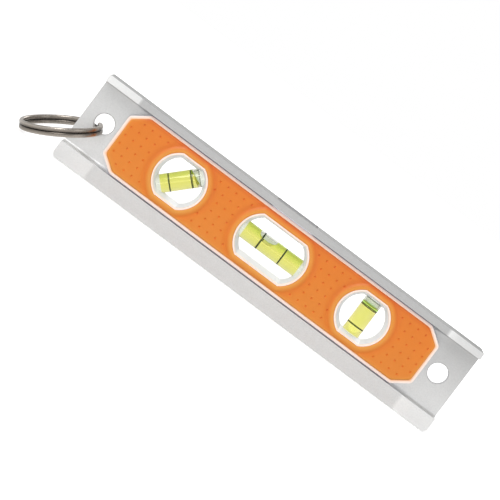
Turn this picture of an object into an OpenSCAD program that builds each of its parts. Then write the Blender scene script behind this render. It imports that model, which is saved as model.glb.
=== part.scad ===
// Magnetic pocket level: an aluminium I-section frame, a moulded body in two halves that
// clamp on its web, three vials held between them, base magnets and a split tether ring.
// Millimetres. X runs along the length, Y from front to back, Z up. The origin is in the
// middle of the V-groove, level with the base. The front face looks toward -Y.

/* [Frame] */
// Length of the frame
frame_len = 210; // [196:1:260]
// Height of the frame
frame_h = 45.1; // [44.7:0.2:54.1]
// Width of both flanges, front to back
flange_w = 20; // [19:0.5:28]
// Thickness of the base flange
base_t = 8; // [7:0.1:9]
// Thickness of the top flange
top_t = 3.5; // [2.8:0.1:6]
// Thickness of the web under the body
web_t = 3; // [2:0.1:3.8]
// Thickness of the web in the end zones
end_web_t = 4; // [3.4:0.1:5]
// Radius between the web and the flanges in the end zones
web_fillet_r = 1.6; // [0.8:0.1:3]
// Length of the full-width end zone of each flange
end_zone = 17.7; // [16:0.1:19]
// How far the flange edges are milled back between the end zones
edge_relief = 0.4; // [0.2:0.1:0.8]
// Radius of the cutter that leaves the run-outs of the milled faces
cutter_r = 6; // [3:0.5:9]
// Corner radius at the ends of the base flange
base_corner_r = 2.6; // [1:0.1:3.5]
// Corner radius at the ends of the top flange
top_corner_r = 0.7; // [0.3:0.1:2]

/* [End holes] */
// Diameter of the hole at each end
end_hole_d = 9.5; // [9:0.1:10.5]
// Distance of each hole's centre from the end of the frame
end_hole_inset = 10.8; // [9.5:0.1:11.5]
// Bevel round both edges of each hole
end_hole_bevel = 0.3; // [0.1:0.05:0.5]

/* [Base] */
// Width of the V-groove at its mouth
groove_w = 9.6; // [7:0.2:12]
// Depth of the V-groove
groove_depth = 2.4; // [1.5:0.1:3]
// Width of the flat at the bottom of the V-groove
groove_flat_w = 2.4; // [1:0.1:4]
// Diameter of the magnets
magnet_d = 8; // [6:0.2:10]
// Thickness of the magnets
magnet_t = 3.2; // [2:0.1:4]
// How far the magnets lie back from the base
magnet_recess = 1; // [0.6:0.1:1.4]
// Distance of the inner magnets from the middle
magnet_inner_x = 26; // [20:0.5:32]
// Distance between an inner and an outer magnet
magnet_step = 51; // [40:0.5:56]

/* [Body] */
// Clear distance between the end of the frame and the body
body_inset = 17.75; // [16:0.05:21]
// Gap between the body and the flanges, above and below
body_gap = 0.3; // [0.2:0.05:0.9]
// Depth of the body's rim in front of the middle plane
rim_depth = 7.6; // [7:0.1:8.6]
// Length of the slope at the corners of the body
corner_x = 8.4; // [5:0.1:11]
// Height of the slope at the corners of the body
corner_z = 6.1; // [4:0.1:9]
// Radius that blends the slopes into the sides
corner_r = 2.5; // [1:0.1:4]
// How far the sides of the body lean inward
side_draft = 0.25; // [0.2:0.05:1]
// Width of the flat rim round the cover
rim_w = 1.5; // [0.5:0.05:1.8]
// Depth of the seat for the cover
cover_seat = 0.9; // [0.6:0.05:1.2]
// Thickness of the wall behind the cover
body_wall = 1.6; // [1.2:0.1:2]
// Diameter of the pegs that join the two halves
peg_d = 4.6; // [3.6:0.1:5.6]
// Length of each peg inside the rear half
peg_grip = 3; // [2:0.1:3.4]

/* [Cover] */
// Thickness of the cover
cover_t = 1.5; // [1.3:0.05:2]
// Rounding of the cover's outer edge
cover_edge = 0.6; // [0.3:0.05:0.8]
// Width of the raised collar round each window
collar_w = 1.8; // [1.2:0.1:2.1]
// Height of the raised collar
collar_h = 0.4; // [0.2:0.05:0.6]
// Width of the hollow round each collar
hollow_w = 1.5; // [1:0.1:1.8]
// Depth of the hollow round each collar
hollow_h = 0.35; // [0.2:0.05:0.5]
// Radius of the ball that presses each dimple
dimple_r = 0.55; // [0.4:0.05:0.8]
// Depth of each dimple
dimple_h = 0.4; // [0.25:0.05:0.55]
// Distance between dimples, upward and along the body
dimple_pitch = 4.4; // [4:0.05:5]
// First column of the dimples beside the middle window
dimple_inner_x = 18.9; // [18:0.1:20]
// First column of the dimples beyond the side windows
dimple_outer_x = 65.8; // [65:0.1:68]

/* [Windows] */
// Distance of the side windows from the middle window
side_window_x = 51.4; // [49:0.2:58]
// Height of all windows at the cover
window_h = 23; // [21.5:0.1:24]
// Radius of the round side windows at the cover
side_window_r = 12.9; // [12.4:0.1:13.4]
// End radius of the middle window at the cover
mid_window_r = 13.7; // [12.8:0.1:14.6]
// Distance from the middle to each end's centre in the middle window
mid_window_x = 4.6; // [3:0.1:6]
// Height of the sight openings round the vials
sight_h = 17.5; // [16.8:0.1:18.5]
// Radius of the sight openings at the sides
side_sight_r = 10.4; // [10:0.1:10.9]
// End radius of the middle sight opening
mid_sight_r = 11.2; // [10.4:0.1:11.8]
// Depth at which the sight openings begin to widen
sight_depth = 0.9; // [0.3:0.1:2]
// Width of the white lip inside each window of the cover
lip_w = 0.75; // [0.5:0.05:1]
// Length of the reading slot in the top
top_slot_len = 22.3; // [18:0.1:26]
// Width of the reading slot in the top, which lets light in round the body
top_slot_w = 17.2; // [15:0.1:18]
// Width of the reading slot in the body, over the level vial
body_slot_w = 9; // [8:0.1:10]

/* [Vials] */
// Outer diameter of the vials
vial_d = 8.5; // [7.6:0.1:8.8]
// Inner diameter of the vials at the middle
vial_bore_d = 6.6; // [5.8:0.1:7]
// Radius of the curve along the bore that centres the bubble
barrel_r = 600; // [300:10:1500]
// Thickness of each vial's closed end
vial_end_t = 3; // [2:0.1:4]
// Length of the level vial's chamber
level_chamber = 30; // [27:0.2:33]
// Length of the chamber in the plumb and 45 degree vials
side_chamber = 17.6; // [16:0.2:18.5]
// Width of each reading line
line_w = 0.65; // [0.4:0.05:0.9]
// Distance between the reading lines of the level vial
level_line_gap = 12; // [10:0.1:14]
// Distance between the reading lines of the side vials
side_line_gap = 10.2; // [8.5:0.1:12]
// Length of the level vial's bubble
bubble_len = 9.2; // [7:0.1:11]
// Radius of the level vial's bubble
level_bubble_r = 2; // [1.6:0.1:2.4]
// Radius of the bubble in the side vials
side_bubble_r = 3; // [2:0.1:3.1]
// Height of the bubble in the side vials
side_bubble_h = 2.7; // [1.5:0.1:4]
// Where the level vial's bubble lies, from the middle
bubble_x = -3.7; // [-5:0.1:0]
// Angle of the diagonal vial above the base
diagonal_angle = 45; // [30:1:60]

/* [Tether ring] */
// Outer diameter of the split ring
ring_d = 38; // [34:0.5:44]
// Width of the ring's wire along the ring's axis
wire_w = 2.1; // [1.6:0.05:2.2]
// Thickness of the ring's wire, inside to outside
wire_t = 1.9; // [1.4:0.05:2]
// Part of a turn, in degrees, in which the wire crosses to the second coil
ring_ramp = 40; // [25:1:60]
// Lean of the ring below level as it lies on the table
ring_lean = 31.6; // [25:0.2:36]
// Twist of the ring about its own leaning line
ring_twist = 7.2; // [0:0.2:10]
// How far the ring's middle lies in front of the web
ring_shift = 4.5; // [0:0.5:7]

/* [Hidden] */
$fn = 64;
fit = 0.1;
skin = 0.05;

clear_h = frame_h - base_t - top_t;
mid_z = base_t + clear_h / 2;
hole_x = frame_len / 2 - end_hole_inset;
body_len = frame_len - 2 * body_inset;
body_h = clear_h - 2 * body_gap;
web_gap = web_t / 2 + skin;
rim_inset = side_draft + rim_w;
cover_back = rim_depth - cover_seat;
cover_front = cover_back + cover_t;
collar_front = cover_front + collar_h;
lip_front = collar_front - 0.15;
shell_back = cover_back - body_wall;
window_wall = 3.75;
pocket_wall = 1.6;
boss_wall = 2;
rib_t = 1.2;
cut_gap = 0.15;
slot_corner_r = 1.5;
line_depth = 0.2;
magnet_bevel = 0.3;
plug_taper = 0.5;
bubble_gap = 0.15;
bubble_edge = 0.5;
vial_end_room = 2.4;
level_len = level_chamber + 2 * vial_end_t;
side_len = side_chamber + 2 * vial_end_t;
side_cut_r = side_sight_r + window_wall;
mid_cut_r = sight_h / 2 + window_wall;
mid_cut_x = level_len / 2 + vial_end_room - mid_cut_r;
peg_inner_x = (mid_window_x + mid_window_r + side_window_x - side_window_r) / 2;
peg_outer_x = (side_window_x + side_window_r + body_len / 2) / 2;
run_out = sqrt(pow(cutter_r, 2) - pow(cutter_r - edge_relief, 2));
coil_pitch = wire_w + skin;
ring_mid_r = (ring_d - wire_t) / 2;
ring_turn = 720 - ring_ramp;
ring_seat = end_hole_d / 2 - 1.04 * wire_w;
ring_seat_angle = 11;
ring_start = 65;
ring_steps = 136;
wire_sides = 12;

// Flat outline with round ends of radius r about x and -x, cut off level at height h
module round_window(x, r, h) {
    intersection() {
        union() {
            for (side = [-1, 1]) translate([side * x, 0]) circle(r);
            if (x > 0) square([2 * x, 2 * r], center = true);
        }
        square([2 * (x + r) + 1, h], center = true);
    }
}

// The same outline as a funnel that narrows from r, h at depth z1 to r0, h0 at depth z0
module round_funnel(x, r, h, r0, h0, z0, z1) {
    intersection() {
        union() {
            for (side = [-1, 1]) translate([side * x, 0, z0]) cylinder(r1 = r0, r2 = r, h = z1 - z0);
            if (x > 0) rotate([90, 0, 90]) linear_extrude(2 * x, center = true)
                polygon([[-r0, z0], [r0, z0], [r, z1], [-r, z1]]);
        }
        rotate([90, 0, 90]) linear_extrude(2 * (x + r) + 1, center = true)
            polygon([[-h0 / 2, z0], [h0 / 2, z0], [h / 2, z1], [-h / 2, z1]]);
    }
}

module mid_window(grow = 0) {
    round_window(mid_window_x, mid_window_r + grow, window_h + 2 * grow);
}

// Outlines of both side windows
module side_windows(grow = 0) {
    for (side = [-1, 1]) translate([side * side_window_x, 0])
        round_window(0, side_window_r + grow, window_h + 2 * grow);
}

// Outline of the body with sloping, rounded corners, drawn in by a margin
module body_outline(inset = 0) {
    x = body_len / 2;
    z = body_h / 2;
    cx = corner_x;
    cz = corner_z;
    offset(r = corner_r) offset(delta = -corner_r - inset) polygon([
        [-x + cx, -z], [x - cx, -z], [x, -z + cz], [x, z - cz],
        [x - cx, z], [-x + cx, z], [-x, z - cz], [-x, -z + cz]]);
}

// Puts a shape drawn on the front face, with its depth as Z, where it belongs
module on_front() {
    translate([0, 0, mid_z]) rotate([90, 0, 0]) children();
}

module on_rear() {
    mirror([0, 1, 0]) on_front() children();
}

// Square corner left outside a quarter circle
module corner_waste(r) {
    difference() {
        translate([-1, -1]) square(r + 1);
        translate([r, r]) circle(r);
    }
}

// Section of the extruded frame, with Y along and Z up
module frame_section() {
    difference() {
        translate([-flange_w / 2, 0]) square([flange_w, frame_h]);
        for (side = [0, 1]) mirror([side, 0]) difference() {
            translate([end_web_t / 2, base_t]) square([flange_w, clear_h]);
            translate([end_web_t / 2, base_t]) difference() {
                square(web_fillet_r);
                translate([web_fillet_r, web_fillet_r]) circle(web_fillet_r);
            }
            translate([end_web_t / 2, frame_h - top_t]) mirror([0, 1]) difference() {
                square(web_fillet_r);
                translate([web_fillet_r, web_fillet_r]) circle(web_fillet_r);
            }
        }
        polygon([[-groove_w / 2, 0], [-groove_w / 2 - 1, -1], [groove_w / 2 + 1, -1],
            [groove_w / 2, 0], [groove_flat_w / 2, groove_depth], [-groove_flat_w / 2, groove_depth]]);
    }
}

// Side view of the frame with its rounded corners
module frame_side() {
    difference() {
        translate([-frame_len / 2, 0]) square([frame_len, frame_h]);
        for (side = [0, 1]) mirror([side, 0]) {
            translate([-frame_len / 2, 0]) corner_waste(base_corner_r);
            translate([-frame_len / 2, frame_h]) mirror([0, 1]) corner_waste(top_corner_r);
        }
    }
}

// Milled relief with round run-outs: half length, nearest face and height range
module milled_relief(half, face, z0, z1) {
    for (side = [-1, 1]) {
        translate([side * (half - run_out), -face - cutter_r, z0]) cylinder(r = cutter_r, h = z1 - z0);
    }
    translate([-half + run_out, -face - 2 * cutter_r, z0])
        cube([2 * (half - run_out), 2 * cutter_r, z1 - z0]);
}

// Seat milled into one side of the web in the outline of the body
module body_seat() {
    translate([0, 0, web_t / 2]) linear_extrude(web_fillet_r + 1) {
        body_outline(-fit);
        square([body_len - 2 * corner_x, clear_h], center = true);
    }
}

module magnet_pocket(x) {
    translate([x, 0, -1]) cylinder(d = magnet_d + fit, h = 1 + magnet_recess + magnet_t + skin);
}

function magnet_x(i) = (i < 2 ? -1 : 1) * (i == 1 || i == 2 ? magnet_inner_x : magnet_inner_x + magnet_step);

module end_hole(x) {
    bevel = end_hole_bevel;
    translate([x, 0, mid_z]) rotate([90, 0, 0]) {
        cylinder(d = end_hole_d, h = flange_w, center = true);
        for (side = [0, 1]) mirror([0, 0, side]) translate([0, 0, end_web_t / 2 - bevel])
            cylinder(d1 = end_hole_d, d2 = end_hole_d + 4 * bevel, h = 2 * bevel);
    }
}

module frame() {
    half = frame_len / 2 - end_zone;
    color("silver") difference() {
        intersection() {
            rotate([90, 0, 90]) linear_extrude(frame_len + 2, center = true) frame_section();
            rotate([90, 0, 0]) linear_extrude(flange_w + 2, center = true) frame_side();
        }
        for (side = [0, 1]) mirror([0, side, 0]) {
            milled_relief(half, flange_w / 2 - edge_relief, -1, frame_h + 1);
        }
        on_front() body_seat();
        on_rear() body_seat();
        for (side = [-1, 1]) end_hole(side * hole_x);
        on_front() linear_extrude(flange_w, center = true) {
            for (side = [-1, 1]) {
                translate([side * side_window_x, 0]) circle(side_cut_r);
                translate([side * peg_inner_x, 0]) circle(d = peg_d + 2 * fit);
                translate([side * peg_outer_x, 0]) circle(d = peg_d + 2 * fit);
            }
            round_window(mid_cut_x, mid_cut_r, 2 * mid_cut_r + 1);
        }
        translate([0, 0, mid_z]) linear_extrude(frame_h) reading_slot(top_slot_w);
        for (i = [0 : 3]) magnet_pocket(magnet_x(i));
    }
}

// Outline of the reading slot, which runs down through the top and the web
module reading_slot(width) {
    r = slot_corner_r;
    offset(r = r) square([top_slot_len - 2 * r, width - 2 * r], center = true);
}

// Space for a vial that lies along X at the middle plane
module vial_space(len) {
    rotate([0, 90, 0]) cylinder(d = vial_d + fit, h = len + fit, center = true);
}

// Window that narrows from the lip to the sight opening and then runs straight
module window_space(x, r, r0) {
    round_funnel(x, r - lip_w, window_h - 2 * lip_w, r0, sight_h, sight_depth, lip_front + skin);
    translate([0, 0, -1]) linear_extrude(sight_depth + 1 + skin) round_window(x, r0, sight_h);
}

// Hollow in the back of a half between x0 and x1, round a peg boss at x and a rib
module back_pocket(x, x0, x1) {
    difference() {
        translate([0, 0, -1]) linear_extrude(shell_back + 1) intersection() {
            translate([x0, -body_h / 2]) square([x1 - x0, body_h]);
            body_outline(side_draft + pocket_wall);
        }
        translate([x, 0, -2]) cylinder(d = peg_d + 2 * boss_wall, h = shell_back + 3);
        translate([x - rib_t / 2, -body_h / 2, -2]) cube([rib_t, body_h, shell_back + 3]);
    }
}

// One half of the white body: depth grows from the middle plane toward the cover
module carrier_half(pegs) {
    difference() {
        union() {
            difference() {
                hull() {
                    translate([0, 0, web_gap]) linear_extrude(skin) body_outline();
                    translate([0, 0, rim_depth - skin]) linear_extrude(skin) body_outline(side_draft);
                }
                translate([0, 0, cover_back]) linear_extrude(cover_seat + 1)
                    body_outline(rim_inset - fit / 2);
            }
            translate([0, 0, cover_back - 1]) linear_extrude(lip_front - cover_back + 1) {
                mid_window(-fit / 2);
                side_windows(-fit / 2);
            }
            translate([0, 0, skin / 2]) linear_extrude(web_gap) {
                for (side = [-1, 1]) translate([side * side_window_x, 0]) circle(side_cut_r - cut_gap);
                round_window(mid_cut_x, mid_cut_r - cut_gap, 2 * mid_cut_r + 1);
            }
            if (pegs) for (x = [-peg_outer_x, -peg_inner_x, peg_inner_x, peg_outer_x]) {
                translate([x, 0, -web_gap - peg_grip]) cylinder(d = peg_d, h = 2 * web_gap + peg_grip + 1);
            }
        }
        window_space(mid_window_x, mid_window_r, mid_sight_r);
        for (side = [-1, 1]) translate([side * side_window_x, 0, 0])
            window_space(0, side_window_r, side_sight_r);
        vial_space(level_len);
        translate([-side_window_x, 0, 0]) rotate([0, 0, diagonal_angle]) vial_space(side_len);
        translate([side_window_x, 0, 0]) rotate([0, 0, 90]) vial_space(side_len);
        translate([0, body_h / 2 + 1, 0]) rotate([90, 0, 0])
            linear_extrude(body_h / 2 + 1 - vial_d / 4) reading_slot(body_slot_w);
        for (side = [0, 1]) mirror([side, 0, 0]) {
            back_pocket(peg_inner_x, mid_cut_x + mid_cut_r + pocket_wall,
                side_window_x - side_cut_r - pocket_wall);
            back_pocket(peg_outer_x, side_window_x + side_cut_r + pocket_wall, body_len / 2);
            if (!pegs) for (x = [peg_inner_x, peg_outer_x]) translate([x, 0, 0])
                cylinder(d = peg_d + fit, h = web_gap + peg_grip + fit);
        }
    }
}

// Whether a dimple at x, z keeps clear of a window with end radius r about wx - half and wx + half
function clear_of(x, z, wx, half, r) =
    norm([max(abs(x - wx) - half, 0), z]) > r + collar_w + hollow_w - dimple_r / 2;

// Whether a dimple at x, z lies inside the sloping corners of the cover
function inside_cover(x, z) =
    let (dx = body_len / 2 - rim_inset - abs(x), dz = body_h / 2 - rim_inset - abs(z))
    min(dx, dz) > 1 && dx / corner_x + dz / corner_z > 1.1;

module dimples() {
    for (side = [-1, 1], start = [dimple_inner_x, dimple_outer_x], i = [0 : 4], row = [-2.5 : 2.5]) {
        x = start + i * dimple_pitch;
        z = row * dimple_pitch;
        if (clear_of(x, z, 0, mid_window_x, mid_window_r)
            && clear_of(x, z, side_window_x, 0, side_window_r) && inside_cover(x, z))
            translate([side * x, z, cover_front - dimple_h + dimple_r]) sphere(dimple_r, $fn = 24);
    }
}

// Cover with its collars, hollows and dimples
module cover() {
    difference() {
        union() {
            difference() {
                hull() {
                    translate([0, 0, cover_back + skin]) linear_extrude(cover_t - cover_edge - skin)
                        body_outline(rim_inset);
                    translate([0, 0, cover_front - cover_edge / 3 - skin]) linear_extrude(skin)
                        body_outline(rim_inset + cover_edge / 3);
                    translate([0, 0, cover_front - skin]) linear_extrude(skin)
                        body_outline(rim_inset + cover_edge);
                }
                translate([0, 0, cover_front - hollow_h]) linear_extrude(1) {
                    mid_window(collar_w + hollow_w);
                    side_windows(collar_w + hollow_w);
                }
            }
            translate([0, 0, cover_back + cover_t / 2]) linear_extrude(cover_t / 2 + collar_h) {
                mid_window(collar_w);
                side_windows(collar_w);
            }
        }
        linear_extrude(collar_front + 1) {
            mid_window();
            side_windows();
        }
        dimples();
    }
}

module front_carrier() {
    color("white") on_front() carrier_half(true);
}

module rear_carrier() {
    color("white") on_rear() carrier_half(false);
}

module front_cover() {
    color("darkorange") on_front() cover();
}

module rear_cover() {
    color("darkorange") on_rear() cover();
}

// Barrel-shaped space along X: half length and middle radius
module barrel(half, r) {
    steps = 5;
    side = [for (i = [-steps : steps]) let (z = half * i / steps) [r - z * z / (2 * barrel_r), z]];
    rotate([0, 90, 0]) rotate_extrude() polygon(concat([[0, -half]], side, [[0, half]]));
}

module line_band(gap, outer, inner, w) {
    for (side = [-1, 1]) translate([side * gap / 2, 0, 0]) rotate([0, 90, 0]) difference() {
        cylinder(r = outer, h = w, center = true);
        cylinder(r = inner, h = w + 1, center = true);
    }
}

// Clear tube along X, closed at its left end and bored for the plug at its right end
module vial_tube(chamber, gap) {
    color("honeydew", 0.4) difference() {
        rotate([0, 90, 0]) cylinder(d = vial_d, h = chamber + 2 * vial_end_t, center = true);
        barrel(chamber / 2, vial_bore_d / 2);
        translate([chamber / 2 - 0.1, 0, 0]) rotate([0, 90, 0]) cylinder(d = vial_bore_d, h = vial_end_t + 1);
        line_band(gap, vial_d / 2 + 1, vial_d / 2 - line_depth, line_w + skin);
    }
}

// Stepped plug that closes the right end of the tube
module vial_plug(chamber) {
    color("honeydew", 0.6) translate([chamber / 2, 0, 0]) rotate([0, 90, 0]) {
        cylinder(d1 = vial_bore_d - 2 * plug_taper, d2 = vial_bore_d - skin, h = plug_taper);
        translate([0, 0, plug_taper]) cylinder(d = vial_bore_d - skin, h = vial_end_t - plug_taper);
    }
}

module vial_lines(gap) {
    outer = (vial_d + skin) / 2;
    color("darkolivegreen") line_band(gap, outer, outer - line_depth, line_w);
}

// Liquid of the level vial, with the bubble against the top of its chamber
module level_liquid() {
    r = vial_bore_d / 2 - skin / 2;
    bubble_r = level_bubble_r;
    color("greenyellow") difference() {
        barrel(level_chamber / 2 - skin, r);
        translate([bubble_x, 0, r - bubble_r + bubble_gap]) rotate([0, 90, 0]) {
            cylinder(r = bubble_r, h = bubble_len - 2 * bubble_r, center = true);
            for (side = [-1, 1]) translate([0, 0, side * (bubble_len / 2 - bubble_r)]) sphere(bubble_r);
        }
    }
}

// Liquid of a side vial, with the bubble at the end that lies uppermost
module side_liquid() {
    r = vial_bore_d / 2 - skin / 2;
    bubble_r = side_bubble_r;
    end = side_chamber / 2 - skin;
    color("greenyellow") difference() {
        barrel(end, r);
        translate([end - side_bubble_h, 0, 0]) rotate([0, 90, 0]) {
            cylinder(r1 = bubble_r - bubble_edge, r2 = bubble_r, h = bubble_edge);
            translate([0, 0, bubble_edge]) cylinder(r = bubble_r, h = side_bubble_h);
        }
    }
}

module at_level() {
    translate([0, 0, mid_z]) children();
}

module at_diagonal() {
    translate([-side_window_x, 0, mid_z]) rotate([0, -diagonal_angle, 0]) children();
}

module at_plumb() {
    translate([side_window_x, 0, mid_z]) rotate([0, -90, 0]) children();
}

module magnet(i) {
    color("dimgray") translate([magnet_x(i), 0, magnet_recess]) {
        cylinder(d1 = magnet_d - 2 * magnet_bevel, d2 = magnet_d, h = magnet_bevel);
        translate([0, 0, magnet_bevel]) cylinder(d = magnet_d, h = magnet_t - magnet_bevel);
    }
}

// How far the wire has climbed from the first coil to the second after turn a
function coil_rise(a) =
    let (t = min(max((a - (360 - ring_ramp)) / ring_ramp, 0), 1))
    coil_pitch * t * t * (3 - 2 * t);

// Corner k of the wire's flattened section, as radial and axial offsets
function wire_point(k) =
    let (a = 360 * (k + 0.5) / wire_sides, c = cos(a), s = sin(a))
    [wire_t / 2 * sign(c) * pow(abs(c), 0.6), wire_w / 2 * sign(s) * pow(abs(s), 0.6)];

function ring_point(i, k) =
    let (a = ring_turn * i / ring_steps, p = wire_point(k), r = ring_mid_r + p[0])
    [r * cos(a), r * sin(a), coil_rise(a) - coil_pitch / 2 + p[1]];

// Split ring: a flattened wire of nearly two turns, swept as one body
module ring_body() {
    n = wire_sides;
    points = [for (i = [0 : ring_steps], k = [0 : n - 1]) ring_point(i, k)];
    sides = [for (i = [0 : ring_steps - 1], k = [0 : n - 1])
        [i * n + k, i * n + (k + 1) % n, (i + 1) * n + (k + 1) % n, (i + 1) * n + k]];
    first = [for (k = [0 : n - 1]) n - 1 - k];
    last = [for (k = [0 : n - 1]) ring_steps * n + k];
    polyhedron(points, concat([first], sides, [last]), convexity = 6);
}

module split_ring() {
    back = sqrt(pow(ring_mid_r, 2) - pow(ring_shift, 2));
    seat = [-hole_x - ring_seat * sin(ring_seat_angle), 0, mid_z - ring_seat * cos(ring_seat_angle)];
    color("gray") translate(seat) rotate([0, -ring_lean, 0]) rotate([ring_twist, 0, 0])
        translate([-back, -ring_shift, 0]) rotate([0, 0, ring_start]) ring_body();
}

frame();
front_carrier();
rear_carrier();
front_cover();
rear_cover();
at_level() vial_tube(level_chamber, level_line_gap);  // level_vial_tube
at_level() vial_plug(level_chamber);  // level_vial_plug
at_level() level_liquid();  // level_vial_liquid
at_level() vial_lines(level_line_gap);  // level_vial_lines
at_diagonal() vial_tube(side_chamber, side_line_gap);  // diagonal_vial_tube
at_diagonal() vial_plug(side_chamber);  // diagonal_vial_plug
at_diagonal() side_liquid();  // diagonal_vial_liquid
at_diagonal() vial_lines(side_line_gap);  // diagonal_vial_lines
at_plumb() vial_tube(side_chamber, side_line_gap);  // plumb_vial_tube
at_plumb() vial_plug(side_chamber);  // plumb_vial_plug
at_plumb() side_liquid();  // plumb_vial_liquid
at_plumb() vial_lines(side_line_gap);  // plumb_vial_lines
magnet(0);  // magnet_1
magnet(1);  // magnet_2
magnet(2);  // magnet_3
magnet(3);  // magnet_4
split_ring();
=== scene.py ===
import math

import bmesh
import bpy
import numpy as np
from mathutils import Matrix, Vector
from mathutils.geometry import delaunay_2d_cdt


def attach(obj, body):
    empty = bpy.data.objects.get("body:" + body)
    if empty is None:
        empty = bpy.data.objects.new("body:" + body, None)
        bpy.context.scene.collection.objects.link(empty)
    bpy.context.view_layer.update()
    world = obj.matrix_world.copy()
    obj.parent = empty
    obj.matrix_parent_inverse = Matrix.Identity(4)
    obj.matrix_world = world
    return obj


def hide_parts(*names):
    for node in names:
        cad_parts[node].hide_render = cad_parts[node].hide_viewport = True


mm = 0.001
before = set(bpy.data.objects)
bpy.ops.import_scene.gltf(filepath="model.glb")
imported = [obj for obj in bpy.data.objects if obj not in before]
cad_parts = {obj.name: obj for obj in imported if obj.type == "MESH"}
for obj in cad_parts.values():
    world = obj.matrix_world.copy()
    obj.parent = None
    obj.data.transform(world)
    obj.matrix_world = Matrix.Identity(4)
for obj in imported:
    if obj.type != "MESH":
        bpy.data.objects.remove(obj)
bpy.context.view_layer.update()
print("frame loaded")

# height of the level's middle plane, and distance of the side windows from its middle
place = dict(midZ=24.8, sideX=51.4)
# outline of the body: a rectangle whose corners are cut off by cornerX and cornerZ and rounded
outline = dict(length=174.5, height=33.0, cornerX=8.4, cornerZ=6.1, cornerR=2.5)


# Turns an sRGB hex colour into linear light
def linearColour(hexCode):
    parts = [int(hexCode[i:i + 2], 16) / 255 for i in (1, 3, 5)]
    return tuple(p / 12.92 if p <= 0.04045 else ((p + 0.055) / 1.055) ** 2.4 for p in parts) + (1.0,)


# Adds a shader node: sockets holds values or the sockets that feed it, settings the node's own options
def addNode(tree, kind, sockets=None, **settings):
    node = tree.nodes.new(kind)
    for name, value in settings.items():
        setattr(node, name, value)
    for name, value in (sockets or {}).items():
        if isinstance(value, bpy.types.NodeSocket):
            tree.links.new(value, node.inputs[name])
        else:
            node.inputs[name].default_value = value
    return node


# An empty material with its tree, surface shader and Object coordinates
def startMaterial(name):
    material = bpy.data.materials.new(name)
    material.use_nodes = True
    tree = material.node_tree
    surface = tree.nodes["Principled BSDF"]
    coords = addNode(tree, "ShaderNodeTexCoord").outputs["Object"]
    return material, tree, surface, coords


# Noise whose grain is size mm along x, y and z
def grain(tree, coords, size, detail=2.0):
    scaled = addNode(tree, "ShaderNodeMapping", {"Vector": coords, "Scale": [1 / (s * mm) for s in size]})
    return addNode(tree, "ShaderNodeTexNoise", {"Vector": scaled.outputs["Vector"], "Scale": 1.0,
                                                "Detail": detail}).outputs["Fac"]


# A colour that goes through the stops as fac goes from 0 to 1
def blendColour(tree, fac, stops):
    ramp = addNode(tree, "ShaderNodeValToRGB", {"Fac": fac})
    elements = ramp.color_ramp.elements
    while len(elements) < len(stops):
        elements.new(0.5)
    for element, (position, colour) in zip(elements, stops):
        element.position = position
        element.color = linearColour(colour)
    return ramp.outputs["Color"]


# A number that goes from low to high as fac goes over fromRange
def blendValue(tree, fac, fromRange, toRange):
    return addNode(tree, "ShaderNodeMapRange", {"Value": fac, "From Min": fromRange[0], "From Max": fromRange[1],
                                                "To Min": toRange[0], "To Max": toRange[1]}).outputs["Result"]


# The result of one arithmetic operation on numbers or sockets
def combine(tree, operation, *values):
    return addNode(tree, "ShaderNodeMath", dict(enumerate(values)), operation=operation).outputs["Value"]


# Distances in metres of a shaded point from three planes across x, y and z, given in mm
def distancesFrom(tree, coords, planes):
    axes = addNode(tree, "ShaderNodeSeparateXYZ", {0: coords}).outputs
    return [combine(tree, "ABSOLUTE", combine(tree, "SUBTRACT", axis, plane * mm)) for axis, plane in zip(axes, planes)]


def addBump(tree, surface, height, distance):
    bump = addNode(tree, "ShaderNodeBump", {"Height": height, "Distance": distance * mm, "Strength": 1.0})
    tree.links.new(bump.outputs["Normal"], surface.inputs["Normal"])


# brightness of each part of the frame, given at its foot and its top where painted shade darkens it over the height,
# and where one part goes over into the next; the top face and the far end are darkened by painted shade as well
aluminiumTone = dict(skin=0.93, milled=(0.77, 0.57), web=(0.9, 0.64), topFaceShade=0.55, farEndShade=(0.96, 0.85),
                     plainRoughness=(0.4, 0.46), topRoughness=0.85)
aluminiumZone = dict(inner=(9, 41), whole=(5, 44), webY=(3, 5), skinY=(9.63, 9.97), topZ=(44.9, 45.05),
                     farEndX=(84, 92))
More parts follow.
